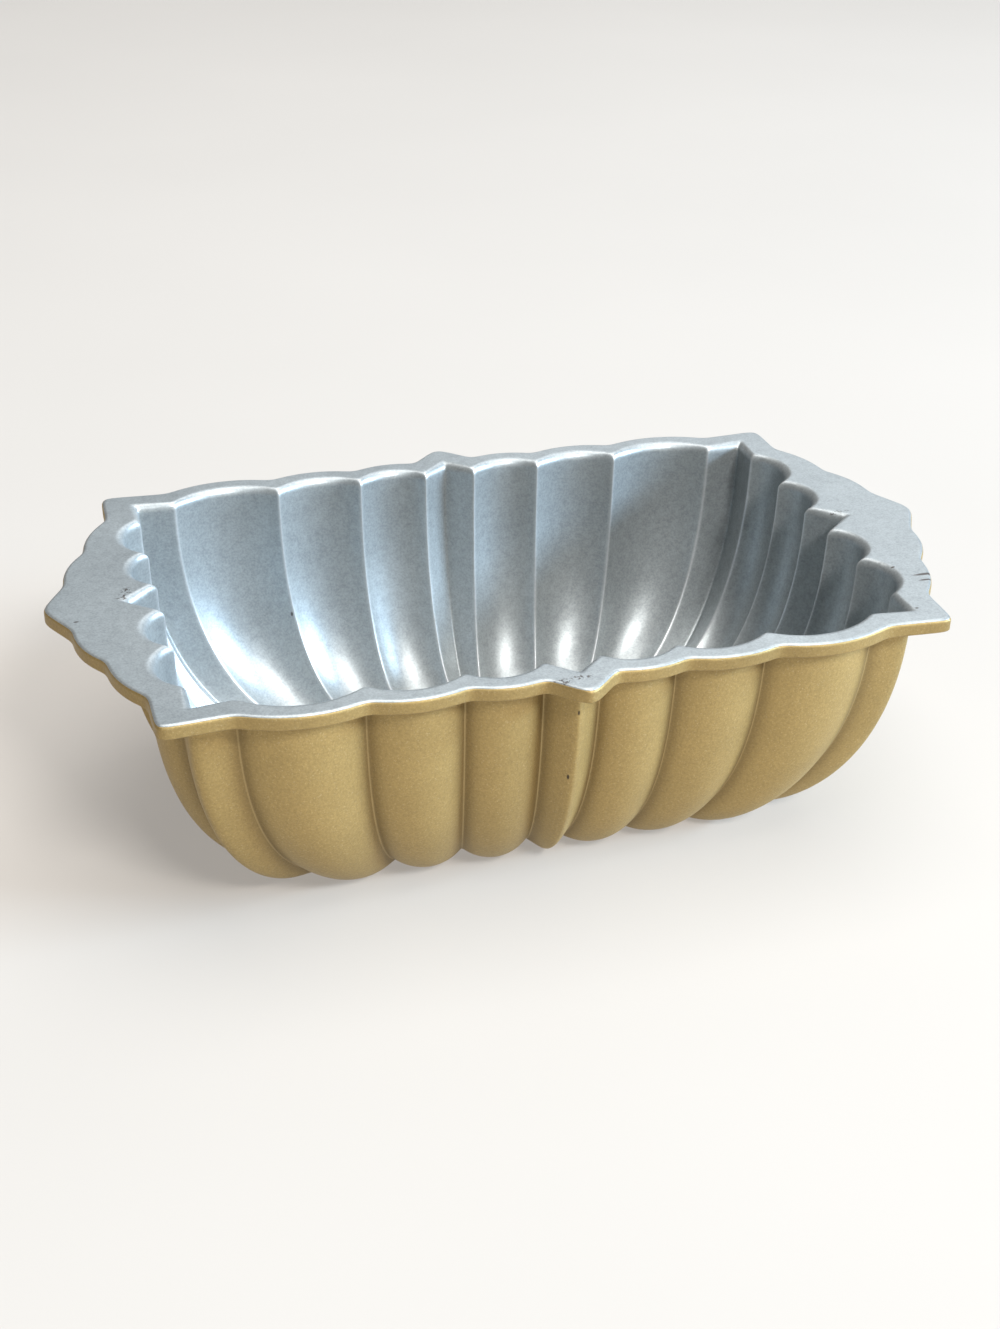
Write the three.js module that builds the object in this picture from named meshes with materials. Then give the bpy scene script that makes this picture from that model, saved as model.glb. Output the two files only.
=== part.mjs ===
// Fluted loaf pan: an aluminium casting with a non-stick lining on its inside and a coat outside.
// The wall is four nested sheets, one inside the other, and each solid fills the space between two of them.
import * as THREE from "three";

// Driving dimensions in millimetres. X runs along the pan, Y across it, and Z up from the table.
const mouthLength = 193.6; // between the seams of the two end walls, just under the rim
const mouthWidth = 118.8; // between the seams of the two side walls, just under the rim
const cavityDepth = 70.8; // from the rim's top to the flat of the cavity's floor
const floorShare = 0.45; // width of that flat against the mouth
const wallRoundness = 2.3; // exponent of the superellipse that the wall follows from mouth to floor
const fluteBlend = 4; // how sharply the flutes give way where they meet the level of the floor
const lobeKeep = 0.55; // how a lobe's height follows its span down the wall: 0 keeps it, 1 shrinks it alike
const tipKeep = 1.2; // the same for ridges and corners
const seamShare = 0.62; // metal behind a seam, against that of an even wall
const wall = 2.6; // lining, casting and coat together
const film = 0.3; // the lining and the coat, each

// Heights of the flutes, measured out from the side line or the end line that the seams stand on.
const sideLobe = 4.1;
const endLobe = 6;
const sideRidge = 6.3;
const endRidge = 8.6;
const cornerAlong = -0.2;
const cornerAcross = -1.4;

// The rim, measured out from the same lines.
const rimThickness = 4.1;
const rimFillet = 2.6; // round of the inner edge
const rimEdge = 1.2; // round of the outer top edge
const sideRimLobe = 11;
const sideRimTip = 19;
const cornerRim = 10;
const cornerRimAcross = 8.9;
const handleLobe = 2; // height of a handle scallop above its chord
const handleTip = 32.1;

// Length of facet that the round on each ridge, corner or tip takes away.
const innerRound = 0.8;
const ridgeRound = 2.4;
const cornerRound = 5;
const rimTipRound = 5;
const rimCornerRound = 4;
const rimValleyEase = 0.7; // how far a valley of the rim fills out, for a bend of 60 degrees

// Seams between flutes on a quarter of the pan. place is a share of the half side, and inset stands the
// seam inside its line. turn is how early it bends towards the middle of the floor. rim is where its valley
// on the rim's outline lies, along and out from the seam's line.
const sideSeams = [
  { place: 0.0805, inset: 0, turn: 1.085, rim: [1.7, 9.6] },
  { place: 0.2945, inset: 0, turn: 0.477, rim: [0.6, 8.3] },
  { place: 0.559, inset: 0.4, turn: 0.625, rim: [0.8, 8.2] },
  { place: 0.885, inset: 2.2, turn: 0.8, rim: [1.7, 6.2] },
];
const endSeams = [
  { place: 0.81, inset: 0, turn: 0.8, rim: [3.1, 10] },
  { place: 0.46, inset: 0, turn: 0.8, rim: [4.3, 18.1] },
  { place: 0.133, inset: 0, turn: 0.8, rim: [5.4, 24.9] },
];

// Fineness of the facets.
const sideLobeSteps = 5;
const endLobeSteps = 4;
const facetSteps = 2; // the flat, and half of the round at its tip
const wallSteps = 6;
const filletSteps = 2;

const halfLength = mouthLength / 2;
const halfWidth = mouthWidth / 2;
const totalHeight = cavityDepth + wall;

// A quarter of the pan, from the middle of a side to the middle of an end.
const middleOfSide = {
  tip: true,
  outerRound: ridgeRound,
  rimRound: rimTipRound,
  mouth: new THREE.Vector2(0, halfWidth + sideRidge),
  rim: new THREE.Vector2(0, halfWidth + sideRimTip),
};
const alongSide = sideSeams.map(({ place, inset, turn, rim }) => ({
  turn,
  crest: "side",
  mouth: new THREE.Vector2(place * halfLength, halfWidth - inset),
  rim: new THREE.Vector2(place * halfLength + rim[0], halfWidth + rim[1]),
}));
const cornerMouth = new THREE.Vector2(halfLength + cornerAlong, halfWidth + cornerAcross);
const corner = {
  tip: true,
  outerRound: cornerRound,
  rimRound: rimCornerRound,
  mouth: cornerMouth,
  rim: new THREE.Vector2(cornerRim, cornerRimAcross).add(cornerMouth),
};
const alongEnd = endSeams.map(({ place, inset, turn, rim }) => ({
  turn,
  crest: "end",
  mouth: new THREE.Vector2(halfLength - inset, place * halfWidth),
  rim: new THREE.Vector2(halfLength + rim[1], place * halfWidth + rim[0]),
}));
const middleOfEnd = {
  tip: true,
  outerRound: ridgeRound,
  rimRound: rimTipRound,
  mouth: new THREE.Vector2(halfLength + endRidge, 0),
  rim: new THREE.Vector2(halfLength + handleTip, 0),
};
const quarter = [middleOfSide, ...alongSide, corner, ...alongEnd, middleOfEnd];

// The whole ring of stations, clockwise from above, by mirroring the quarter.
function mirrored(stations, x, y) {
  const sign = new THREE.Vector2(x, y);
  return stations.map((station) => ({
    ...station,
    mouth: station.mouth.clone().multiply(sign),
    rim: station.rim.clone().multiply(sign),
  }));
}
const ring = [
  ...quarter.slice(0, -1),
  ...mirrored(quarter, 1, -1).reverse().slice(0, -1),
  ...mirrored(quarter, -1, -1).slice(0, -1),
  ...mirrored(quarter, -1, 1).reverse().slice(0, -1),
];
const around = (list, index) => list[(index + list.length) % list.length];

// Each panel spans two stations: a lobe between two seams, or a flat facet beside a tip.
const panels = ring.map((start, index) => {
  const end = around(ring, index + 1);
  const facet = Boolean(start.tip || end.tip);
  const onSide = start.crest === "side";
  const middle = start.mouth.clone().add(end.mouth).multiplyScalar(0.5);
  const rimMiddle = start.rim.clone().add(end.rim).multiplyScalar(0.5);
  const mouthLobe = onSide
    ? halfWidth + sideLobe - Math.abs(middle.y)
    : halfLength + endLobe - Math.abs(middle.x);
  const rimLobe = onSide ? halfWidth + sideRimLobe - Math.abs(rimMiddle.y) : handleLobe;
  return {
    facet,
    steps: facet ? facetSteps : onSide ? sideLobeSteps : endLobeSteps,
    mouthLobe: facet ? 0 : mouthLobe,
    rimLobe: facet ? 0 : rimLobe,
    span: start.mouth.distanceTo(end.mouth),
    rimSpan: start.rim.distanceTo(end.rim),
  };
});

// Where each panel's first point stands in a row of points.
const firstPoints = panels.map((_, index) =>
  panels.slice(0, index).reduce((count, panel) => count + panel.steps, 0),
);

// Outward normal of a chord on the clockwise ring.
function outward(from, to) {
  return new THREE.Vector2(from.y - to.y, to.x - from.x).normalize();
}

// Moves every corner of a ring of chords and lobes outwards so that its curves move by the given distance.
// Seams move by a share of that.
function grow(corners, bulges, distance, share = 1) {
  const normals = corners.map((point, index) => outward(point, around(corners, index + 1)));
  const chords = corners.map((point, index) => point.distanceTo(around(corners, index + 1)));
  const angles = chords.map((chord, index) => 2 * Math.atan((2 * bulges[index]) / chord));
  const origin = new THREE.Vector2();
  const moves = corners.map((point, index) => {
    const before = (index + corners.length - 1) % corners.length;
    const arriving = normals[before].clone().rotateAround(origin, -angles[before]);
    const leaving = normals[index].clone().rotateAround(origin, angles[index]);
    const bisector = arriving.clone().add(leaving).normalize();
    const reach = [before, index].map((side, which) => {
      const cosine = bisector.dot(which ? leaving : arriving);
      if (bulges[side] === 0) return distance / cosine;
      const radius = chords[side] / (2 * Math.sin(angles[side]));
      const along = radius * cosine;
      return Math.sqrt(along * along + 2 * radius * distance + distance * distance) - along;
    });
    return bisector.multiplyScalar(((reach[0] + reach[1]) / 2) * (ring[index].tip ? 1 : share));
  });
  const heights = bulges.map((bulge, index) => {
    const lift = moves[index].clone().add(around(moves, index + 1)).multiplyScalar(0.5);
    return bulge > 0 ? bulge + distance - lift.dot(normals[index]) : 0;
  });
  return { normals, moves, heights };
}

// Height of a circular arc above its chord, as a share of the height at its middle.
function arcShare(bulge, chord, share) {
  if (bulge === 0) return 0;
  const half = chord / 2;
  const radius = (half * half + bulge * bulge) / (2 * bulge);
  const across = half * (2 * share - 1);
  return (Math.sqrt(radius * radius - across * across) - radius + bulge) / bulge;
}

// Rounds the tips of a row. A round has its full length on facets of the given span, and shrinks with them.
function roundTips(row, span, roundOf) {
  ring.forEach((station, index) => {
    if (!station.tip) return;
    const at = firstPoints[index];
    const tip = row[at];
    const before = row[around(firstPoints, index - 1)];
    const after = row[around(firstPoints, index + 1)];
    const back = tip.clone().lerp(before, roundOf(station) / around(panels, index - 1)[span]);
    const ahead = tip.clone().lerp(after, roundOf(station) / panels[index][span]);
    row[(at + row.length - 1) % row.length] = back;
    row[at] = back.clone().add(ahead).lerp(tip.clone().multiplyScalar(2), 0.5).multiplyScalar(0.5);
    row[at + 1] = ahead;
  });
  return row;
}

// Fills out the valleys of an outline.
function easeValleys(row) {
  ring.forEach((station, index) => {
    if (station.tip) return;
    const valley = row[firstPoints[index]];
    const [before, after] = [-1, 1].map((step) => around(row, firstPoints[index] + step));
    const back = before.clone().sub(valley).normalize();
    const ahead = after.clone().sub(valley).normalize();
    valley.addScaledVector(back.add(ahead), rimValleyEase);
  });
  return row;
}

// One row of wall points at an angle from the mouth (0) to the floor (90 degrees), moved out by a distance.
function wallRow(angle, distance, roundOf = () => innerRound) {
  const power = 2 / wallRoundness;
  const drawIn = Math.cos(angle) ** power;
  const drop = angle < Math.PI / 2 ? Math.sin(angle) ** power : 1;
  const scale = angle < Math.PI / 2 ? floorShare + (1 - floorShare) * drawIn : floorShare;
  const run = (1 - floorShare) * Math.sqrt(halfLength * halfWidth);
  const depth = cavityDepth - rimFillet;
  const steep = drawIn ** (wallRoundness - 1) / run;
  const flat = drop ** (wallRoundness - 1) / depth;
  const tilt = angle < Math.PI / 2 ? Math.atan2(flat, steep) : Math.PI / 2;
  const floorLevel = wall - distance;
  const roomToFloor = tilt > 0 ? (depth * (1 - drop)) / Math.sin(tilt) : Infinity;

  // Flutes shrink as their span does, and never reach below the floor.
  function flute(height, spanShare, keep) {
    const full = height * spanShare ** keep;
    if (full === 0 || roomToFloor === Infinity) return full;
    return (full * roomToFloor) / (full ** fluteBlend + roomToFloor ** fluteBlend) ** (1 / fluteBlend);
  }

  const bases = ring.map((station) =>
    station.tip
      ? null
      : new THREE.Vector2(station.mouth.x * scale ** station.turn, station.mouth.y * scale),
  );
  const tips = ring.map((station, index) => {
    if (!station.tip) return new THREE.Vector2();
    const [from, to] = [index - 1, index + 1];
    const mouthChord = around(ring, to).mouth.clone().sub(around(ring, from).mouth);
    const chord = around(bases, to).clone().sub(around(bases, from));
    const reach = station.mouth.clone().sub(around(ring, from).mouth);
    const share = reach.dot(mouthChord) / mouthChord.lengthSq();
    const normal = outward(around(ring, from).mouth, around(ring, to).mouth);
    const height = flute(reach.dot(normal), chord.length() / mouthChord.length(), tipKeep);
    bases[index] = around(bases, from).clone().addScaledVector(chord, share);
    return outward(around(bases, from), around(bases, to)).multiplyScalar(height);
  });
  const corners = bases.map((base, index) => base.clone().add(tips[index]));
  const bulges = panels.map((panel, index) =>
    flute(panel.mouthLobe, corners[index].distanceTo(around(corners, index + 1)) / panel.span, lobeKeep),
  );
  const steepShare = 1 - (1 - seamShare) * Math.sqrt(Math.max(0, Math.cos(tilt)));
  const grown = grow(corners, bulges, distance, steepShare);
  const moves = tips.map((tip, index) => tip.clone().add(grown.moves[index]));

  const row = panels.flatMap((panel, index) => {
    const chord = corners[index].distanceTo(around(corners, index + 1));
    return Array.from({ length: panel.steps }, (_, step) => {
      const share = step / panel.steps;
      const base = bases[index].clone().lerp(around(bases, index + 1), share);
      const rise = grown.heights[index] * arcShare(bulges[index], chord, share);
      const move = moves[index].clone().lerp(around(moves, index + 1), share);
      move.addScaledVector(grown.normals[index], rise);
      const lengths = [moves[index].length(), around(moves, index + 1).length()];
      const lift = THREE.MathUtils.lerp(lengths[0], lengths[1], share) + rise;
      const z = totalHeight - rimFillet - depth * drop - lift * Math.sin(tilt);
      return new THREE.Vector3(
        base.x + move.x * Math.cos(tilt),
        base.y + move.y * Math.cos(tilt),
        Math.max(z, floorLevel),
      );
    });
  });
  return roundTips(row, "span", roundOf);
}

// One row of points on the rim's outline, drawn in by an inset.
function outlineRow(inset, z) {
  const corners = ring.map((station) => station.rim);
  const bulges = panels.map((panel) => panel.rimLobe);
  const grown = grow(corners, bulges, -inset);
  const moved = corners.map((point, index) => point.clone().add(grown.moves[index]));
  const row = panels.flatMap((panel, index) => {
    const [from, to] = [moved[index], around(moved, index + 1)];
    const chord = from.distanceTo(to);
    return Array.from({ length: panel.steps }, (_, step) => {
      const share = step / panel.steps;
      const rise = grown.heights[index] * arcShare(panel.rimLobe, chord, share);
      const point = from.clone().lerp(to, share).addScaledVector(grown.normals[index], rise);
      return new THREE.Vector3(point.x, point.y, z);
    });
  });
  return easeValleys(roundTips(row, "rimSpan", (station) => station.rimRound));
}

// Sets a row of points at one level.
const level = (row, z) => row.map((point) => point.clone().setZ(z));

// Wall rows from the floor up to an angle, at a distance out from the cavity's surface.
function wallRows(distance, topAngle, roundOf) {
  return Array.from({ length: wallSteps + 1 }, (_, step) =>
    wallRow(THREE.MathUtils.lerp(Math.PI / 2, topAngle, step / wallSteps), distance, roundOf),
  );
}

// The wall's angle at a depth below the rim's top.
function angleAtDepth(depthBelowRim) {
  const drop = (depthBelowRim - rimFillet) / (cavityDepth - rimFillet);
  return Math.asin(drop ** (wallRoundness / 2));
}

// Rounds the inner edge of the rim, outside a film of the given thickness.
function filletRows(thickness, steps) {
  return Array.from({ length: steps }, (_, step) => {
    const turn = ((step + 1) / steps) * (Math.PI / 2);
    const radius = rimFillet - thickness;
    const row = wallRow(0, rimFillet - radius * Math.cos(turn));
    return level(row, totalHeight - rimFillet + radius * Math.sin(turn));
  });
}

// The four sheets, each a list of rows from the floor to the rim's outer edge.
const edgeZ = totalHeight - rimEdge;
const edgeMiddle = rimEdge * (1 - Math.SQRT1_2);
const cavitySheet = [
  ...wallRows(0, 0),
  ...filletRows(0, filletSteps),
  outlineRow(rimEdge, totalHeight),
  outlineRow(edgeMiddle, totalHeight - edgeMiddle),
  outlineRow(0, edgeZ),
];
const castInnerSheet = [
  ...wallRows(film, 0),
  ...filletRows(film, 1),
  outlineRow(rimEdge, totalHeight - film),
  outlineRow(film, edgeZ),
];
function outerSheet(distance) {
  const inset = wall - distance;
  const underside = totalHeight - rimThickness + inset;
  const topAngle = angleAtDepth(totalHeight - underside);
  const rows = wallRows(distance, topAngle, (station) => station.outerRound);
  rows.push(level(rows.pop(), underside));
  return [...rows, outlineRow(inset, underside), outlineRow(inset, edgeZ)];
}
const castOuterSheet = outerSheet(wall - film);
const coatSheet = outerSheet(wall);
const standingRow = level(castOuterSheet[0], 0);

// Collects triangles into one closed surface.
class Surface {
  positions = [];

  triangle(a, b, c, flip) {
    const order = flip ? [a, c, b] : [a, b, c];
    order.forEach((point) => this.positions.push(point.x, point.y, point.z));
  }

  // A band between two rows, facing up and into the cavity unless flipped.
  band(lower, upper, flip) {
    lower.forEach((point, index) => {
      const [next, above, aboveNext] = [around(lower, index + 1), upper[index], around(upper, index + 1)];
      this.triangle(point, next, aboveNext, flip);
      this.triangle(point, aboveNext, above, flip);
    });
    return this;
  }

  // All the bands of a sheet.
  sheet(rows, flip) {
    rows.slice(1).forEach((row, index) => this.band(rows[index], row, flip));
    return this;
  }

  // A flat disc inside a row.
  disc(row, flip) {
    const middle = new THREE.Vector3(0, 0, row[0].z);
    row.forEach((point, index) => this.triangle(middle, around(row, index + 1), point, flip));
    return this;
  }

  mesh(name, color, roughness, metalness) {
    const geometry = new THREE.BufferGeometry();
    geometry.setAttribute("position", new THREE.Float32BufferAttribute(this.positions, 3));
    geometry.computeVertexNormals();
    const mesh = new THREE.Mesh(geometry, new THREE.MeshStandardMaterial({ color, roughness, metalness }));
    mesh.name = name;
    return mesh;
  }
}

// The lining lies between the cavity's surface and the casting, and laps over the rim to its outer edge.
const lining = new Surface()
  .disc(cavitySheet[0], false)
  .sheet(cavitySheet, false)
  .band(cavitySheet.at(-1), castInnerSheet.at(-1), false)
  .sheet(castInnerSheet, true)
  .disc(castInnerSheet[0], true)
  .mesh("nonstick_lining", 0xaab2b7, 0.42, 0.75);

// The casting stands on its own bare flat, which comes down flush with the coat around it.
const casting = new Surface()
  .disc(castInnerSheet[0], false)
  .sheet(castInnerSheet, false)
  .sheet(castOuterSheet, true)
  .band(standingRow, castOuterSheet[0], true)
  .disc(standingRow, true)
  .mesh("cast_body", 0xc4c7ca, 0.5, 0.9);

// The coat covers the outside from the standing flat up to the rim's outer edge.
const outerCoat = new Surface()
  .sheet(castOuterSheet, false)
  .band(castOuterSheet.at(-1), coatSheet.at(-1), false)
  .sheet(coatSheet, true)
  .band(coatSheet[0], castOuterSheet[0], false)
  .mesh("outer_coat", 0xb1955c, 0.5, 0.6);

const pan = new THREE.Group();
pan.name = "fluted_loaf_pan";
pan.add(casting, lining, outerCoat);

export default pan;
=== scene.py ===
import math

import bpy
import numpy as np
from mathutils import Matrix, Vector


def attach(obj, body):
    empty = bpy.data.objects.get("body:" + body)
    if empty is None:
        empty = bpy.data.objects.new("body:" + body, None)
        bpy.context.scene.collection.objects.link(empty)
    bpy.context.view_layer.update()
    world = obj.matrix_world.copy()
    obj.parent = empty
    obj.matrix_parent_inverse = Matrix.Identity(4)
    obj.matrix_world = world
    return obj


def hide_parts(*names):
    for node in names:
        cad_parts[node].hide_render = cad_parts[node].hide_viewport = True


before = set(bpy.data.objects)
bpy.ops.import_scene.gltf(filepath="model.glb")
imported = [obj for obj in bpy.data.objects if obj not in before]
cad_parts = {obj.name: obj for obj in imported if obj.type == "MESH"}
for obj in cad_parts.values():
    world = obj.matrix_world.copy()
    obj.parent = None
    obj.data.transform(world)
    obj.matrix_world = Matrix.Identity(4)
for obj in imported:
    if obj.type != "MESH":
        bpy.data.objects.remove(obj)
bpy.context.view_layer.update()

MM = 0.001
TINY = 1e-9
HALF_PI = math.pi / 2

# Sizes of the pan in millimetres.
MOUTH_LENGTH = 193.6
MOUTH_WIDTH = 118.8
CAVITY_DEPTH = 70.8
FLOOR_SHARE = 0.45  # width of the floor against that of the mouth
WALL_ROUNDNESS = 2.3  # power of the curve that the wall follows from the mouth to the floor
FLUTE_BLEND = 4  # how sharply a flute gives way to the room that is left above the floor
FLUTE_KEEP = 0.55  # 0 keeps the depth of a flute down to the floor, 1 lets it shrink with its span
TIP_KEEP = 1.2  # the same for ridges and corners
WALL = 2.6
FILM = 0.3  # thickness of the lining and of the coat
VALLEY_SHARE = 0.62  # depth of metal behind a seam, against that of an even wall
SIDE_LOBE = 4.1
END_LOBE = 6.0
SIDE_RIDGE = 6.3
END_RIDGE = 8.6
CORNER_ALONG = -0.2
CORNER_ACROSS = -1.4
RIM_THICKNESS = 4.1
RIM_FILLET = 2.6
RIM_EDGE = 1.2
SIDE_RIM_LOBE = 11.0
SIDE_RIM_TIP = 19.0
CORNER_RIM = 10.0
CORNER_RIM_ACROSS = 8.9
HANDLE_LOBE = 2.0
HANDLE_TIP = 32.1
# Seams: place along the side, inset, turn, and the rim's valley along and out from the line.
SIDE_SEAMS = [
    (0.0805, 0.0, 1.085, 1.7, 9.6),
    (0.2945, 0.0, 0.477, 0.6, 8.3),
    (0.559, 0.4, 0.625, 0.8, 8.2),
    (0.885, 2.2, 0.8, 1.7, 6.2),
]
END_SEAMS = [
    (0.81, 0.0, 0.8, 3.1, 10.0),
    (0.46, 0.0, 0.8, 4.3, 18.1),
    (0.133, 0.0, 0.8, 5.4, 24.9),
]
EDGE_TURN = math.radians(50)  # how far the lining reaches around the rim's upper outer edge
LOWER_EDGE = 0.5  # round of the rim's lower outer edge
UNDER_FILLET = 0.9  # round between the wall and the rim's underside

# Rounding as the spread of a smoothing along the ring, for seams, ridges and corners.
INSIDE = (0.3, 0.4, 0.4)
FILLET = (1.3, 0.7, 0.7)  # at the top of the fillet between the inside and the rim
OUTSIDE = (0.4, 1.3, 3.6)
OUTLINE = (1.7, 2.8, 2.2)
SOFT_REACH = 2.6  # how far the smoothing of a ridge or corner reaches, in spreads
SOFT_POWER = 4  # how sharply it ends there

# Fineness of the meshes.
LOBE_COLUMNS = 22
FACET_COLUMNS = 12
WALL_ROWS = 56
FILLET_ROWS = 8
ROUND_ROWS = 6
EDGE_ROWS = 6
BACK_ROWS = 30  # on the casting, which the films hide
BACK_FILLET_ROWS = 4
BACK_ROUND_ROWS = 4
BACK_EDGE_ROWS = 3
RING_STEP = 0.12  # spacing of the points that a ring is smoothed on
FEWEST_STEPS = 8  # of that spacing between two stations
RIM_TOP_SHARES = (0.05, 0.5, 0.95)  # places of rings across the rim's top
RIM_UNDER_SHARES = (0.06, 0.94)  # across its underside
RIM_SIDE_SHARES = (0.08, 0.92, 1.0)  # and up its outer face
DISC_SHARES = (0.75, 0.4, 0.12)  # sizes of the rings that close a floor

# Nearness to a seam, from 0 to 1, which the materials read from the meshes to paint highlights on
# the lining and shade on the coat along the seams; whole rings under and around the rim carry
# painted shade too.
SEAM = "seam"
CUSP_WIDTH = 0.5  # how far the painted highlight and wear along a seam spread on the lining
VALLEY_WIDTH = 2.8  # how far the painted shade along a seam spreads on the coat
FLOOR_FADE = 0.2  # share of the wall, from the floor up, over which a seam comes in
UNDER_RIM_PAINTED_SHADOW = 0.9  # painted shadow: the coat where the wall meets the rim, under its overhang, is as dark as near a seam
RIM_BAND_PAINTED_SHADE = 0.34  # painted shade: the rim's outer face a little darker than the wall

HALF_LENGTH = MOUTH_LENGTH / 2
HALF_WIDTH = MOUTH_WIDTH / 2
TOTAL_HEIGHT = CAVITY_DEPTH + WALL


# The ring of stations

def quarter_stations():
    """Stations from the middle of a side to that of an end: kind, turn, mouth point, rim point."""
    side_tip = (0.0, HALF_WIDTH + SIDE_RIDGE)
    stations = [("ridge", 1.0, side_tip, (0.0, HALF_WIDTH + SIDE_RIM_TIP))]
    for place, inset, turn, along, out in SIDE_SEAMS:
        x = place * HALF_LENGTH
        stations.append(("side", turn, (x, HALF_WIDTH - inset), (x + along, HALF_WIDTH + out)))
    corner = (HALF_LENGTH + CORNER_ALONG, HALF_WIDTH + CORNER_ACROSS)
    corner_rim = (corner[0] + CORNER_RIM, corner[1] + CORNER_RIM_ACROSS)
    stations.append(("corner", 1.0, corner, corner_rim))
    for place, inset, turn, along, out in END_SEAMS:
        y = place * HALF_WIDTH
        stations.append(("end", turn, (HALF_LENGTH - inset, y), (HALF_LENGTH + out, y + along)))
    end_tip = (HALF_LENGTH + END_RIDGE, 0.0)
    stations.append(("ridge", 1.0, end_tip, (HALF_LENGTH + HANDLE_TIP, 0.0)))
    return stations


def mirrored(stations, x, y):
    return [
        (kind, turn, (mouth[0] * x, mouth[1] * y), (rim[0] * x, rim[1] * y))
        for kind, turn, mouth, rim in stations
    ]


QUARTER = quarter_stations()
STATIONS = (
    QUARTER[:-1]
    + mirrored(QUARTER, 1, -1)[:0:-1]
    + mirrored(QUARTER, -1, -1)[:-1]
    + mirrored(QUARTER, -1, 1)[:0:-1]
)
COUNT = len(STATIONS)
KIND = [s[0] for s in STATIONS]
TURN = np.array([s[1] for s in STATIONS])
MOUTH = np.array([s[2] for s in STATIONS])
RIM = np.array([s[3] for s in STATIONS])
IS_TIP = np.array([k in ("ridge", "corner") for k in KIND])
ON_SIDE = np.array([k == "side" for k in KIND])


def following(values):
    return np.roll(values, -1, axis=0)


def preceding(values):
    return np.roll(values, 1, axis=0)


def outward(start, end):
    d = end - start
    n = np.stack([-d[..., 1], d[..., 0]], axis=-1)
    return n / np.linalg.norm(n, axis=-1, keepdims=True)


# Panels run from a station to the next: flat facets beside a tip, and lobes elsewhere.
FACET = IS_TIP | following(IS_TIP)
SPAN = np.linalg.norm(following(MOUTH) - MOUTH, axis=1)
MIDDLE = (MOUTH + following(MOUTH)) / 2
RIM_MIDDLE = (RIM + following(RIM)) / 2
SIDE_MOUTH_LOBE = HALF_WIDTH + SIDE_LOBE - np.abs(MIDDLE[:, 1])
END_MOUTH_LOBE = HALF_LENGTH + END_LOBE - np.abs(MIDDLE[:, 0])
MOUTH_LOBE = np.where(FACET, 0.0, np.where(ON_SIDE, SIDE_MOUTH_LOBE, END_MOUTH_LOBE))
SIDE_OUTLINE_LOBE = HALF_WIDTH + SIDE_RIM_LOBE - np.abs(RIM_MIDDLE[:, 1])
RIM_LOBE = np.where(FACET, 0.0, np.where(ON_SIDE, SIDE_OUTLINE_LOBE, HANDLE_LOBE))


def rotated(vectors, angles):
    c, s = np.cos(angles), np.sin(angles)
    x, y = vectors[:, 0], vectors[:, 1]
    return np.stack([x * c - y * s, x * s + y * c], axis=1)


def grow(corners, bulges, distance, valley=1.0):
    """Moves a ring of chords and lobes outwards by a distance, and its seams by a share of it."""
    ahead = following(corners)
    normals = outward(corners, ahead)
    chords = np.linalg.norm(ahead - corners, axis=1)
    angles = 2 * np.arctan(2 * bulges / chords)
    arriving = rotated(preceding(normals), -preceding(angles))
    leaving = rotated(normals, angles)
    bisector = arriving + leaving
    bisector /= np.linalg.norm(bisector, axis=1, keepdims=True)

    def reach(side_angles, side_chords, side):
        cosine = np.sum(bisector * side, axis=1)
        flat = side_angles < TINY
        radius = side_chords / (2 * np.sin(np.where(flat, 1.0, side_angles)))
        along = radius * cosine
        curved = np.sqrt(along**2 + 2 * radius * distance + distance**2) - along
        return np.where(flat, distance / cosine, curved)

    before = reach(preceding(angles), preceding(chords), arriving)
    mean = (before + reach(angles, chords, leaving)) / 2
    moves = bisector * (mean * np.where(IS_TIP, 1.0, valley))[:, None]
    lift = (moves + following(moves)) / 2
    heights = np.where(bulges > 0, bulges + distance - np.sum(lift * normals, axis=1), 0.0)
    return normals, moves, heights


def arc_share(bulge, chord, share):
    """Height of a circular lobe over its chord, against its height in the middle."""
    if bulge <= TINY:
        return np.zeros_like(share)
    half = chord / 2
    radius = (half * half + bulge * bulge) / (2 * bulge)
    across = half * (2 * share - 1)
    return (np.sqrt(radius**2 - across**2) - radius + bulge) / bulge


def dense_shares(span):
    return np.arange(0, 1, 1 / max(FEWEST_STEPS, int(math.ceil(span / RING_STEP))))


DENSE = [dense_shares(span) for span in SPAN]
DENSE_COUNT = [len(d) for d in DENSE]
DENSE_START = np.concatenate([[0], np.cumsum(DENSE_COUNT)])


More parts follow.
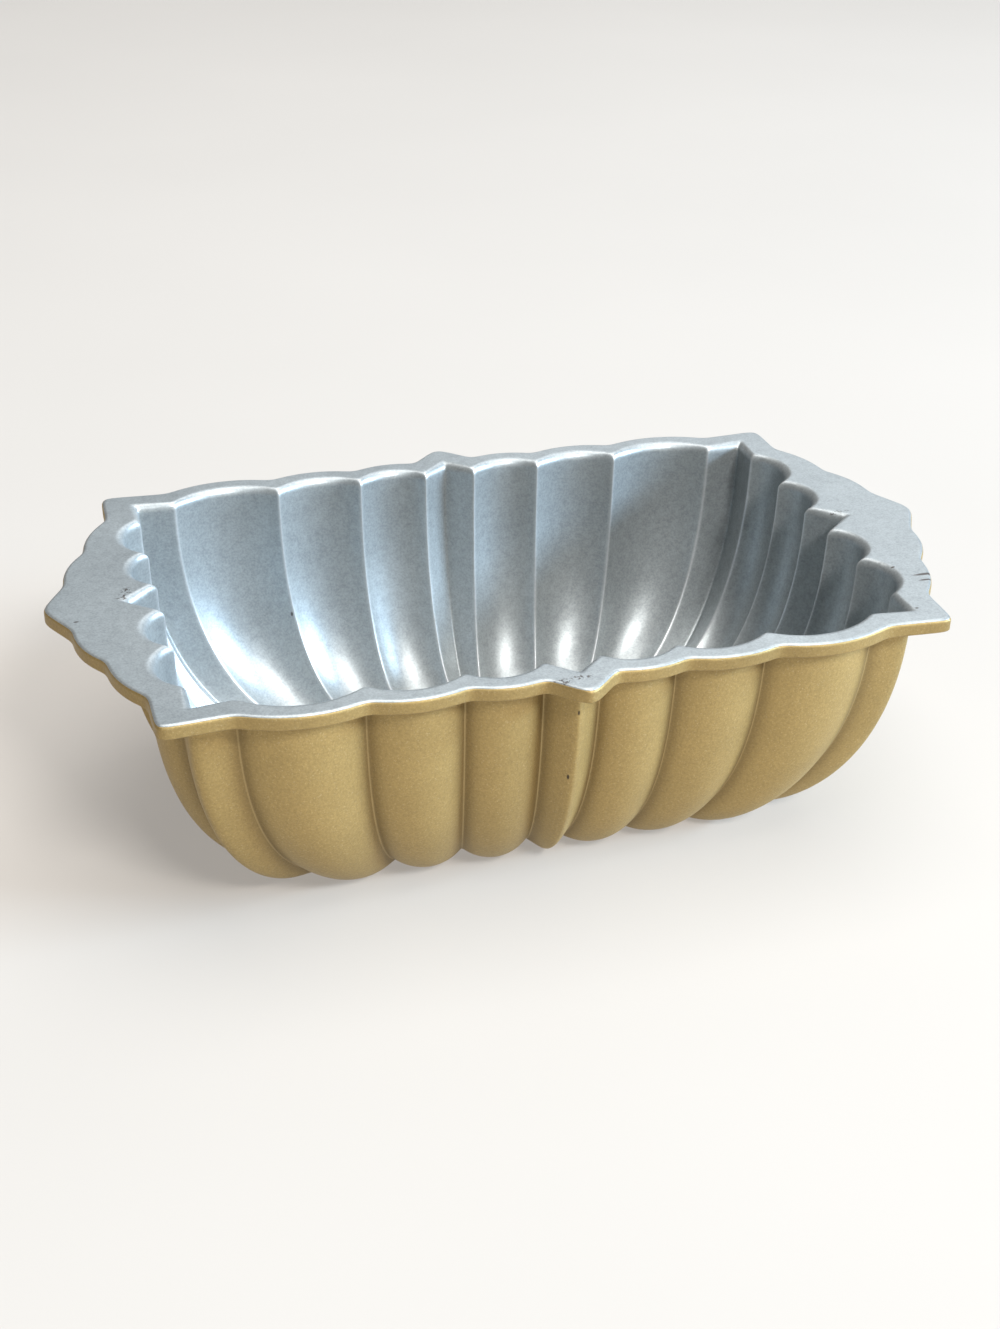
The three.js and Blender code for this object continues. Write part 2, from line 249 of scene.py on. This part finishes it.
def wall_polyline(angle, distance):
    """Points of a ring on the wall, with sharp seams, at an angle from the mouth to the floor."""
    power = 2 / WALL_ROUNDNESS
    at_floor = angle > HALF_PI - TINY
    draw_in = 0.0 if at_floor else math.cos(angle) ** power
    drop = 1.0 if at_floor else math.sin(angle) ** power
    scale = FLOOR_SHARE + (1 - FLOOR_SHARE) * draw_in
    run = (1 - FLOOR_SHARE) * math.sqrt(HALF_LENGTH * HALF_WIDTH)
    depth = CAVITY_DEPTH - RIM_FILLET
    steep = draw_in ** (WALL_ROUNDNESS - 1) / run
    flat = drop ** (WALL_ROUNDNESS - 1) / depth
    tilt = HALF_PI if at_floor else math.atan2(flat, steep)
    room = depth * (1 - drop) / math.sin(tilt) if tilt > 0 else None

    def flute(height, span_share, keep):
        full = height * span_share**keep
        if room is None:
            return full
        if room == 0:
            return full * 0
        total = full**FLUTE_BLEND + room**FLUTE_BLEND
        return full * room / total ** (1 / FLUTE_BLEND)

    bases = np.stack([MOUTH[:, 0] * scale**TURN, MOUTH[:, 1] * scale], axis=1)
    tips = np.zeros((COUNT, 2))
    for i in np.flatnonzero(IS_TIP):
        before, after = i - 1, (i + 1) % COUNT
        mouth_chord = MOUTH[after] - MOUTH[before]
        chord = bases[after] - bases[before]
        out = MOUTH[i] - MOUTH[before]
        share = out @ mouth_chord / (mouth_chord @ mouth_chord)
        span_share = np.linalg.norm(chord) / np.linalg.norm(mouth_chord)
        height = flute(out @ outward(MOUTH[before], MOUTH[after]), span_share, TIP_KEEP)
        bases[i] = bases[before] + chord * share
        tips[i] = outward(bases[before], bases[after]) * height
    corners = bases + tips
    chords = np.linalg.norm(following(corners) - corners, axis=1)
    bulges = flute(MOUTH_LOBE, chords / SPAN, FLUTE_KEEP)
    valley = 1 - (1 - VALLEY_SHARE) * math.sqrt(max(0.0, math.cos(tilt)))
    normals, moves, heights = grow(corners, bulges, distance, valley)
    moves = moves + tips
    lengths = np.linalg.norm(moves, axis=1)
    rows = []
    for i in range(COUNT):
        share = DENSE[i]
        after = (i + 1) % COUNT
        base = bases[i] + (bases[after] - bases[i]) * share[:, None]
        rise = heights[i] * arc_share(bulges[i], chords[i], share)
        move = moves[i] + (moves[after] - moves[i]) * share[:, None] + normals[i] * rise[:, None]
        lift = lengths[i] + (lengths[after] - lengths[i]) * share + rise
        z = TOTAL_HEIGHT - RIM_FILLET - depth * drop - lift * math.sin(tilt)
        flat_points = base + move * math.cos(tilt)
        rows.append(np.column_stack([flat_points, np.maximum(z, WALL - distance)]))
    return np.concatenate(rows)


def outline_polyline(inset, z):
    """Points of the rim's outline, with sharp tips, drawn in by an inset."""
    normals, moves, heights = grow(RIM, RIM_LOBE, -inset)
    moved = RIM + moves
    rows = []
    for i in range(COUNT):
        after = (i + 1) % COUNT
        chord = np.linalg.norm(moved[after] - moved[i])
        share = DENSE[i]
        points = moved[i] + (moved[after] - moved[i]) * share[:, None]
        points = points + normals[i] * (heights[i] * arc_share(RIM_LOBE[i], chord, share))[:, None]
        rows.append(np.column_stack([points, np.full(len(share), z)]))
    return np.concatenate(rows)


PANEL_COLUMNS = [FACET_COLUMNS if facet else LOBE_COLUMNS for facet in FACET]


def columns():
    """Places on the dense ring where the mesh has its columns, closest together at the seams."""
    places = []
    for start, count, steps in zip(DENSE_START, DENSE_COUNT, PANEL_COLUMNS):
        share = (1 - np.cos(np.pi * np.arange(steps) / steps)) / 2
        places.append(start + share * count)
    return np.concatenate(places)


COLUMNS = columns()
PANEL_STARTS = np.cumsum([0] + PANEL_COLUMNS)[:-1]
SEAM_COLUMNS = PANEL_STARTS[~IS_TIP]


def nearness(ring, width):
    """How close the points of a ring are to a seam: 1 on the seam, fading out over a width."""
    steps = np.linalg.norm(np.roll(ring, -1, axis=0) - ring, axis=1)
    place = np.concatenate([[0], np.cumsum(steps)])
    away = np.abs(place[:-1, None] - place[SEAM_COLUMNS][None, :])
    away = np.minimum(away, place[-1] - away).min(axis=1)
    return np.exp(-((away / width) ** 2))


def smoothed(points, spreads):
    """A closed ring, smoothed by a spread for seams, one for ridges and one for corners."""
    closed = np.vstack([points, points[:1]])
    steps = np.linalg.norm(np.diff(closed, axis=0), axis=1)
    length = np.concatenate([[0], np.cumsum(steps)])
    total = length[-1]
    count = int(round(total / RING_STEP))
    even = np.arange(count) * total / count
    ring = np.column_stack([np.interp(even, length, closed[:, k]) for k in range(3)])
    frequency = np.fft.rfftfreq(count, d=total / count)
    spectrum = np.fft.rfft(ring, axis=0)

    def blurred(spread):
        gain = np.exp(-2 * (np.pi * spread * frequency[:, None]) ** 2)
        return np.fft.irfft(spectrum * gain, n=count, axis=0)

    result = blurred(spreads[0])
    for kind, spread in zip(("ridge", "corner"), spreads[1:]):
        softer = blurred(spread)
        weight = np.zeros(count)
        for i in range(COUNT):
            if KIND[i] == kind:
                away = np.abs(even - length[DENSE_START[i]])
                away = np.minimum(away, total - away)
                near = np.exp(-((away / (SOFT_REACH * spread)) ** SOFT_POWER))
                weight = np.maximum(weight, near)
        result = result + (softer - result) * weight[:, None]
    at = np.interp(COLUMNS, np.arange(len(length)), length)
    wrapped = np.vstack([result, result[:1]])
    stops = np.concatenate([even, [total]])
    return np.column_stack([np.interp(at, stops, wrapped[:, k]) for k in range(3)])


def wall_ring(angle, distance, spreads):
    return smoothed(wall_polyline(angle, distance), spreads)


def outline_ring(inset, z):
    return smoothed(outline_polyline(inset, z), OUTLINE)


def at_level(ring, z):
    ring = ring.copy()
    ring[:, 2] = z
    return ring


def angle_at_depth(depth):
    drop = (depth - RIM_FILLET) / (CAVITY_DEPTH - RIM_FILLET)
    return math.asin(drop ** (WALL_ROUNDNESS / 2))


def upper_edge_ring(film, turn):
    """A ring on the rim's upper outer edge, at a turn from the top, under a film."""
    radius = RIM_EDGE - film
    inset = RIM_EDGE - radius * math.sin(turn)
    return outline_ring(inset, TOTAL_HEIGHT - RIM_EDGE + radius * math.cos(turn))


def inner_sheet(film, wall_rows, fillet_rows, edge_rows):
    """Rings from the floor, up the inside, over the rim and part of the way around its edge."""
    rings = []
    for i in range(wall_rows + 1):
        rings.append(wall_ring(HALF_PI * (1 - i / wall_rows), film, INSIDE))
    radius = RIM_FILLET - film
    for i in range(fillet_rows):
        turn = (i + 1) / fillet_rows * HALF_PI
        spreads = [low + (high - low) * (1 - math.cos(turn)) for low, high in zip(INSIDE, FILLET)]
        ring = wall_ring(0, RIM_FILLET - radius * math.cos(turn), spreads)
        rings.append(at_level(ring, TOTAL_HEIGHT - RIM_FILLET + radius * math.sin(turn)))
    top = rings[-1]
    edge = outline_ring(RIM_EDGE, TOTAL_HEIGHT - film)
    rings += [top + (edge - top) * share for share in RIM_TOP_SHARES]
    rings += [upper_edge_ring(film, i / edge_rows * EDGE_TURN) for i in range(edge_rows + 1)]
    return rings


def outer_sheet(distance, wall_rows, round_rows):
    """Rings from the standing flat, up the outside, under the rim, up its face and to the lining."""
    film = WALL - distance
    under = TOTAL_HEIGHT - RIM_THICKNESS + film
    lowest = angle_at_depth(TOTAL_HEIGHT - under + UNDER_FILLET)
    rings = []
    for i in range(wall_rows + 1):
        angle = HALF_PI + (lowest - HALF_PI) * i / wall_rows
        rings.append(wall_ring(angle, distance, OUTSIDE))
    start = rings[-1][:, 2].mean()
    rise = under - start
    for i in range(1, round_rows + 1):
        turn = i / round_rows * HALF_PI
        ring = wall_ring(lowest, distance + UNDER_FILLET * (1 - math.cos(turn)), OUTSIDE)
        rings.append(at_level(ring, start + rise * math.sin(turn)))
    top = rings[-1]
    edge = outline_ring(film + LOWER_EDGE, under)
    rings += [top + (edge - top) * share for share in RIM_UNDER_SHARES]
    for i in range(round_rows + 1):
        turn = i / round_rows * HALF_PI
        inset = film + LOWER_EDGE * (1 - math.sin(turn))
        rings.append(outline_ring(inset, under + LOWER_EDGE * (1 - math.cos(turn))))
    low, high = under + LOWER_EDGE, TOTAL_HEIGHT - RIM_EDGE
    rings += [outline_ring(film, low + (high - low) * share) for share in RIM_SIDE_SHARES]
    for i in range(1, round_rows + 1):
        rings.append(upper_edge_ring(film, HALF_PI + (EDGE_TURN - HALF_PI) * i / round_rows))
    return rings


class Shell:
    """Gathers rings of points into one closed mesh."""

    def __init__(self):
        self.points = []
        self.faces = []
        self.seams = {}

    def add(self, ring):
        start = len(self.points)
        self.points.extend(map(tuple, ring * MM))
        return start

    def mark_seams(self, start, rings, width, fades):
        """Notes how close the points of a sheet are to a seam, faded from ring to ring."""
        for ring, fade in zip(rings, fades):
            for offset, value in enumerate(nearness(ring, width) * fade):
                self.seams[start + offset] = value
            start += len(ring)

    def mark_rings(self, start, chosen, value):
        """Gives whole rings of a sheet one value, as if they were that close to a seam, which paints
        shade on them.
        """
        for index in chosen:
            first = start + index * len(COLUMNS)
            for offset in range(len(COLUMNS)):
                self.seams[first + offset] = value

    def band(self, low, high, flip):
        n = len(COLUMNS)
        for i in range(n):
            j = (i + 1) % n
            face = (low + i, low + j, high + j, high + i)
            self.faces.append(face[::-1] if flip else face)

    def sheet(self, rings, flip):
        starts = [self.add(ring) for ring in rings]
        for low, high in zip(starts, starts[1:]):
            self.band(low, high, flip)
        return starts[0], starts[-1]

    def disc(self, start, ring, flip):
        """Closes the middle of a flat ring with smaller rings and a pole."""
        n = len(COLUMNS)
        low = start
        for share in DISC_SHARES:
            inner = ring.copy()
            inner[:, :2] *= share
            inner_start = self.add(inner)
            self.band(inner_start, low, flip)
            low = inner_start
        pole = len(self.points)
        self.points.append((0.0, 0.0, ring[0][2] * MM))
        for i in range(n):
            face = (pole, low + (i + 1) % n, low + i)
            self.faces.append(face[::-1] if flip else face)

    def build(self, name):
        mesh = bpy.data.meshes.new(name)
        mesh.from_pydata(self.points, [], self.faces)
        mesh.shade_smooth()
        seam = mesh.attributes.new(SEAM, "FLOAT", "POINT")
        seam.data.foreach_set("value", [self.seams.get(i, 0.0) for i in range(len(self.points))])
        mesh.update()
        piece = bpy.data.objects.new(name, mesh)
        bpy.context.scene.collection.objects.link(piece)
        return piece


CAVITY = inner_sheet(0.0, WALL_ROWS, FILLET_ROWS, EDGE_ROWS)
CAST_INNER = inner_sheet(FILM, BACK_ROWS, BACK_FILLET_ROWS, BACK_EDGE_ROWS)
CAST_OUTER = outer_sheet(WALL - FILM, BACK_ROWS, BACK_ROUND_ROWS)
COAT = outer_sheet(WALL, WALL_ROWS, ROUND_ROWS)
STANDING = at_level(CAST_OUTER[0], 0.0)
WALL_FADES = [min(1.0, i / WALL_ROWS / FLOOR_FADE) for i in range(WALL_ROWS + 1)]
FILLET_FADES = [1 - (i + 1) / FILLET_ROWS for i in range(FILLET_ROWS)]


def make_lining():
    shell = Shell()
    floor, edge = shell.sheet(CAVITY, False)
    shell.disc(floor, CAVITY[0], False)
    # Nearness to the seams, for the painted highlight and wear along them.
    shell.mark_seams(floor, CAVITY, CUSP_WIDTH, WALL_FADES + FILLET_FADES)
    back_floor, back_edge = shell.sheet(CAST_INNER, True)
    shell.disc(back_floor, CAST_INNER[0], True)
    shell.band(edge, back_edge, False)
    return shell.build("satin_lining")


def make_casting():
    shell = Shell()
    floor, edge = shell.sheet(CAST_INNER, False)
    shell.disc(floor, CAST_INNER[0], False)
    outer_floor, outer_edge = shell.sheet(CAST_OUTER, True)
    shell.band(edge, outer_edge, False)
    standing = shell.add(STANDING)
    shell.band(standing, outer_floor, True)
    shell.disc(standing, STANDING, True)
    return shell.build("metal_body")


def make_coat():
    shell = Shell()
    back_low, back_high = shell.sheet(CAST_OUTER, False)
    low, high = shell.sheet(COAT, True)
    rim_row = WALL_ROWS + ROUND_ROWS
    # Nearness to the valleys, for the painted shade and highlight along them.
    shell.mark_seams(low, COAT, VALLEY_WIDTH, WALL_FADES)
    # Painted shadow under the rim's overhang.
    shell.mark_rings(low, range(WALL_ROWS, rim_row), UNDER_RIM_PAINTED_SHADOW)
    # Painted shade on the rim's outer face.
    shell.mark_rings(low, range(rim_row, len(COAT)), RIM_BAND_PAINTED_SHADE)
    shell.band(back_high, high, False)
    shell.band(low, back_low, False)
    return shell.build("gold_coat")


# Materials

MIX_FACTOR, MIX_FIRST, MIX_SECOND, MIX_RESULT = 0, 6, 7, 2  # sockets of a Mix node for colours


def grey(value):
    return (value, value, value)


class Graph:
    """Adds and links shader nodes."""

    def __init__(self, name):
        self.material = bpy.data.materials.new(name)
        self.material.use_nodes = True
        self.tree = self.material.node_tree
        self.shader = self.tree.nodes["Principled BSDF"]
        self.place = self.node("ShaderNodeTexCoord").outputs["Object"]

    def node(self, kind, **settings):
        made = self.tree.nodes.new(kind)
        for key, value in settings.items():
            setattr(made, key, value)
        return made

    def link(self, source, target):
        self.tree.links.new(source, target)

    def feed(self, value, target):
        """Links an output to a socket, or sets the socket to a number or a colour."""
        if isinstance(value, (int, float)):
            target.default_value = value
        elif isinstance(value, tuple):
            target.default_value = (*value, 1.0)
        else:
            self.link(value, target)

    def noise(self, scale, detail, roughness):
        made = self.node("ShaderNodeTexNoise")
        made.inputs["Scale"].default_value = scale
        made.inputs["Detail"].default_value = detail
        made.inputs["Roughness"].default_value = roughness
        self.link(self.place, made.inputs["Vector"])
        return made.outputs["Fac"]

    def ramp(self, source, across, colours):
        """A colour that runs from one to another across a part of the source's range."""
        made = self.node("ShaderNodeValToRGB")
        for element, position, colour in zip(made.color_ramp.elements, across, colours):
            element.position = position
            element.color = (*colour, 1.0)
        self.link(source, made.inputs["Fac"])
        return made.outputs["Color"]

    def span(self, source, across, values):
        """A number that runs from one to another across a part of the source's range."""
        made = self.node("ShaderNodeMapRange")
        made.inputs["From Min"].default_value, made.inputs["From Max"].default_value = across
        made.inputs["To Min"].default_value, made.inputs["To Max"].default_value = values
        self.link(source, made.inputs["Value"])
        return made.outputs["Result"]

    def mix(self, factor, first, second, blend="MIX"):
        made = self.node("ShaderNodeMix", data_type="RGBA", blend_type=blend)
        self.feed(factor, made.inputs[MIX_FACTOR])
        self.feed(first, made.inputs[MIX_FIRST])
        self.feed(second, made.inputs[MIX_SECOND])
        return made.outputs[MIX_RESULT]

    def multiply(self, first, second):
        return self.mix(1.0, first, second, "MULTIPLY")

    def math(self, operation, *values):
        made = self.node("ShaderNodeMath", operation=operation)
        for index, value in enumerate(values):
            self.feed(value, made.inputs[index])
        return made.outputs[0]

    def seam(self):
        return self.node("ShaderNodeAttribute", attribute_name=SEAM).outputs["Fac"]

    def marks(self, spots):
        """Blunt-edged spots: 1 in the middle of a spot, 0 away from all."""
        total = None
        for middle, size in spots:
            apart = self.node("ShaderNodeVectorMath", operation="SUBTRACT")
            self.link(self.place, apart.inputs[0])
            apart.inputs[1].default_value = [v * MM for v in middle]
            shaped = self.node("ShaderNodeVectorMath", operation="DIVIDE")
            self.link(apart.outputs["Vector"], shaped.inputs[0])
            shaped.inputs[1].default_value = [v * MM for v in size]
            length = self.node("ShaderNodeVectorMath", operation="LENGTH")
            self.link(shaped.outputs["Vector"], length.inputs[0])
            spot = self.span(length.outputs["Value"], SPOT_EDGE, (1.0, 0.0))
            total = spot if total is None else self.math("MAXIMUM", total, spot)
        return total

    def bump(self, heights, strength, distance):
        made = self.node("ShaderNodeBump")
        made.inputs["Strength"].default_value = strength
        made.inputs["Distance"].default_value = distance
        self.link(heights, made.inputs["Height"])
        self.link(made.outputs["Normal"], self.shader.inputs["Normal"])


# Wear marks: middle and half size in millimetres.
LINING_NICKS = (
    ((111.4, -41.0, 73.0), (4.6, 0.75, 1.6)),
    ((109.8, -44.2, 73.2), (2.4, 0.5, 1.5)),
    ((-120.1, -9.2, 73.4), (0.8, 0.4, 1.0)),
    ((-52.5, 55.4, 32.2), (0.45, 0.5, 0.8)),
    ((104.4, -34.8, 73.3), (0.7, 0.45, 1.0)),
    ((99.3, -58.7, 73.4), (0.6, 0.4, 1.0)),
)
LINING_SCUFFS = (
    ((-6.2, -71.0, 73.3), (3.4, 1.5, 1.5)),
    ((-0.8, -70.2, 73.4), (3.2, 1.3, 1.5)),
    ((-105.2, 5.0, 73.4), (2.2, 2.0, 1.5)),
    ((-107.2, 1.8, 73.4), (1.8, 1.8, 1.5)),
    ((104.5, 2.4, 73.4), (4.5, 1.0, 1.5)),
)
COAT_PITS = (
    ((-0.2, -68.1, 61.5), (0.3, 0.6, 0.8)),
    ((-1.35, -65.1, 40.0), (0.35, 0.6, 1.0)),
)
SPOT_EDGE = (0.6, 1.1)  # where a mark fades out, against its half size

# Colours, and how strongly they show.
WIDE = (0.3, 0.7)  # the part of a noise's range that most of it lies in
WHITE = grey(1.0)
LINING_COLOURS = ((0.37, 0.40, 0.41), (0.43, 0.462, 0.47))
# Painted highlight and wear: the lining is lighter along its seams.
LINING_SEAM_HIGHLIGHT_AND_WEAR_COLOUR = (0.80, 0.82, 0.83)
LINING_SEAM_HIGHLIGHT_AND_WEAR_STRENGTH = 0.38
LINING_WORN_COLOUR = (0.10, 0.09, 0.085)
COAT_COLOURS = ((0.392, 0.279, 0.108), (0.475, 0.338, 0.132))
COAT_DOT_COLOUR = (0.80, 0.68, 0.44)
COAT_DOT_STRENGTH = 0.17
# Painted shade: the coat darker along its valleys, and under and around the rim.
COAT_PAINTED_SHADE_COLOUR = (0.15, 0.10, 0.04)
COAT_PAINTED_SHADE_STRENGTH = 0.58
COAT_VALLEY_HIGHLIGHT_COLOUR = (0.52, 0.39, 0.19)  # a painted highlight: a thin light line in the middle of the painted shade along a valley
COAT_VALLEY_HIGHLIGHT_STRENGTH = 0.34
COAT_VALLEY_HIGHLIGHT_EDGE = (0.982, 0.998)
COAT_PIT_COLOUR = (0.07, 0.05, 0.03)
CAST_COLOURS = ((0.56, 0.57, 0.58), (0.68, 0.69, 0.70))
FLOOR_COLOURS = ((0.29, 0.274, 0.256), (0.305, 0.288, 0.269))
FLOOR_GLOW_COLOUR = (1.0, 0.95, 0.89, 1.0)
FLOOR_GLOW = 0.33


def lining_material():
    g = Graph("satin_silver_film")
    flake = g.noise(scale=1500, detail=3.0, roughness=0.65)
    mottle = g.noise(scale=420, detail=3.0, roughness=0.65)
    cloud = g.noise(scale=28, detail=4.0, roughness=0.6)
    speckle = g.noise(scale=1300, detail=2.0, roughness=0.6)
    base = g.ramp(cloud, WIDE, LINING_COLOURS)
    grain = g.ramp(flake, across=(0.35, 0.65), colours=(grey(0.78), WHITE))
    patches = g.ramp(mottle, across=(0.3, 0.6), colours=(grey(0.86), WHITE))
    colour = g.multiply(g.multiply(base, grain), patches)
    # Painted highlight and wear: the lining is made lighter along the seams.
    seam_highlight_and_wear = g.math("MULTIPLY", g.seam(), LINING_SEAM_HIGHLIGHT_AND_WEAR_STRENGTH)
    colour = g.mix(seam_highlight_and_wear, colour, LINING_SEAM_HIGHLIGHT_AND_WEAR_COLOUR)
    broken = g.span(speckle, across=(0.52, 0.58), values=(0.0, 1.0))
    scuffs = g.math("MULTIPLY", g.marks(LINING_SCUFFS), broken)
    worn = g.math("MAXIMUM", scuffs, g.marks(LINING_NICKS))
    g.link(g.mix(worn, colour, LINING_WORN_COLOUR), g.shader.inputs["Base Color"])
    g.link(g.span(cloud, WIDE, values=(0.38, 0.45)), g.shader.inputs["Roughness"])
    g.shader.inputs["Metallic"].default_value = 0.55
    g.bump(flake, strength=0.12, distance=0.0002)
    return g.material


def coat_material():
    g = Graph("matte_gold_film")
    sand = g.noise(scale=1500, detail=3.0, roughness=0.65)
    dots = g.noise(scale=2300, detail=1.0, roughness=0.5)
    cloud = g.noise(scale=22, detail=4.0, roughness=0.6)
    base = g.ramp(cloud, WIDE, COAT_COLOURS)
    grain = g.ramp(sand, WIDE, colours=(grey(0.74), WHITE))
    colour = g.multiply(base, grain)
    dotted = g.span(dots, across=(0.62, 0.72), values=(0.0, COAT_DOT_STRENGTH))
    colour = g.mix(dotted, colour, COAT_DOT_COLOUR)
    seam = g.seam()
    # Painted shade along the valleys, and under and around the rim.
    colour = g.mix(g.math("MULTIPLY", seam, COAT_PAINTED_SHADE_STRENGTH), colour, COAT_PAINTED_SHADE_COLOUR)
    # Painted highlight: a thin light line along the bottom of each valley.
    valley_highlight = g.span(seam, COAT_VALLEY_HIGHLIGHT_EDGE, values=(0.0, COAT_VALLEY_HIGHLIGHT_STRENGTH))
    colour = g.mix(valley_highlight, colour, COAT_VALLEY_HIGHLIGHT_COLOUR)
    colour = g.mix(g.marks(COAT_PITS), colour, COAT_PIT_COLOUR)
    g.link(colour, g.shader.inputs["Base Color"])
    g.link(g.span(cloud, WIDE, values=(0.46, 0.54)), g.shader.inputs["Roughness"])
    g.shader.inputs["Metallic"].default_value = 0.6
    g.bump(sand, strength=0.3, distance=0.0003)
    return g.material


def casting_material():
    g = Graph("bare_cast_metal")
    sand = g.noise(scale=900, detail=3.0, roughness=0.6)
    cloud = g.noise(scale=40, detail=3.0, roughness=0.6)
    g.link(g.ramp(cloud, WIDE, CAST_COLOURS), g.shader.inputs["Base Color"])
    g.link(g.span(sand, WIDE, values=(0.4, 0.55)), g.shader.inputs["Roughness"])
    g.shader.inputs["Metallic"].default_value = 0.95
    g.bump(sand, strength=0.25, distance=0.0003)
    return g.material


def floor_material():
    g = Graph("pale_floor")
    cloud = g.noise(scale=3, detail=3.0, roughness=0.5)
    g.link(g.ramp(cloud, WIDE, FLOOR_COLOURS), g.shader.inputs["Base Color"])
    g.shader.inputs["Roughness"].default_value = 0.9
    g.shader.inputs["Specular IOR Level"].default_value = 0.1
    g.shader.inputs["Emission Color"].default_value = FLOOR_GLOW_COLOUR
    g.shader.inputs["Emission Strength"].default_value = FLOOR_GLOW
    return g.material


PIECES = (
    (make_lining, lining_material, "nonstick_lining", "lining"),
    (make_casting, casting_material, "cast_body", "casting"),
    (make_coat, coat_material, "outer_coat", "coat"),
)
for make, material, node, slot in PIECES:
    piece = make()
    piece.data.materials.append(material())
    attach(piece, "root")
    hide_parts(node)

# The floor and the light, in metres.
HALF_FLOOR = 20.0
FLOOR_CORNERS = [
    (x * HALF_FLOOR, y * HALF_FLOOR, 0) for x, y in ((-1, -1), (1, -1), (1, 1), (-1, 1))
]
floor_mesh = bpy.data.meshes.new("floor")
floor_mesh.from_pydata(FLOOR_CORNERS, [], [(0, 1, 2, 3)])
floor = bpy.data.objects.new("floor", floor_mesh)
floor.data.materials.append(floor_material())
bpy.context.scene.collection.objects.link(floor)

LIT_POINT = Vector((0, 0, 0.04))
# Panels that face the pan: azimuth from the back (+Y) to the right (+X) and elevation in degrees,
# distance, size, brightness and colour.
PANELS = (
    ("window", 111, 23, 2.6, (1.1, 0.42), 88.0, (0.61, 0.82, 1.03)),
    ("overhead", 80, 84, 2.5, (2.2, 2.0), 4.7, (1.0, 0.98, 0.95)),
    ("front_spot", 163, 45, 2.6, (0.68, 0.44), 56.0, (1.0, 0.98, 0.95)),
    ("back_panel", 40, 40, 2.6, (2.0, 1.2), 1.8, (0.97, 0.985, 1.0)),
    ("left_panel", 300, 25, 2.6, (1.2, 0.9), 0.1, (0.97, 0.985, 1.0)),
    ("front_strip", 170, 6, 2.6, (1.6, 0.5), 3.6, (1.0, 0.92, 0.80)),
)
WORLD_COLOUR = (0.93, 0.96, 1.0, 1.0)
WORLD_STRENGTH = 0.1


def studio_light(name, azimuth, elevation, distance, size, brightness, colour):
    a, e = math.radians(azimuth), math.radians(elevation)
    way = Vector((math.sin(a) * math.cos(e), math.cos(a) * math.cos(e), math.sin(e)))
    light = bpy.data.lights.new(name, "AREA")
    light.shape = "RECTANGLE"
    light.size, light.size_y = size
    light.energy = brightness * size[0] * size[1] * math.pi
    light.color = colour
    lamp = bpy.data.objects.new(name, light)
    lamp.location = way * distance
    lamp.rotation_euler = (LIT_POINT - way * distance).to_track_quat("-Z", "Y").to_euler()
    bpy.context.scene.collection.objects.link(lamp)


for panel in PANELS:
    studio_light(*panel)

world = bpy.data.worlds.new("studio")
world.use_nodes = True
backdrop = world.node_tree.nodes["Background"]
backdrop.inputs["Color"].default_value = WORLD_COLOUR
backdrop.inputs["Strength"].default_value = WORLD_STRENGTH
bpy.context.scene.world = world
bpy.context.scene.view_settings.view_transform = "Standard"

# The camera, as fitted to the photograph: place in millimetres, angles in degrees.
CAMERA_PLACE = Vector((-132.1, -430.4, 300.4))
AZIMUTH, ELEVATION, ROLL = (math.radians(v) for v in (-17.411, 30.294, 1.302))
FOCAL_PIXELS = 1770.59
SHIFT_PIXELS = -11.87
FRAME_HEIGHT = 1329  # pixels, along the longer side of the sensor
SENSOR = 36.0
CLIP_END = 60
level = math.cos(ELEVATION)
back = Vector((math.sin(AZIMUTH) * level, -math.cos(AZIMUTH) * level, math.sin(ELEVATION)))
right = Vector((math.cos(AZIMUTH), math.sin(AZIMUTH), 0))
up = back.cross(right)
rolled_right = right * math.cos(ROLL) + up * math.sin(ROLL)
rolled_up = up * math.cos(ROLL) - right * math.sin(ROLL)
lens = bpy.data.cameras.new("camera")
lens.sensor_width = SENSOR
lens.lens = SENSOR * FOCAL_PIXELS / FRAME_HEIGHT
lens.shift_x = SHIFT_PIXELS / FRAME_HEIGHT
lens.clip_end = CLIP_END
camera = bpy.data.objects.new("camera", lens)
facing = Matrix((rolled_right, rolled_up, back)).transposed().to_4x4()
camera.matrix_world = Matrix.Translation(CAMERA_PLACE * MM) @ facing
bpy.context.scene.collection.objects.link(camera)
bpy.context.scene.camera = camera
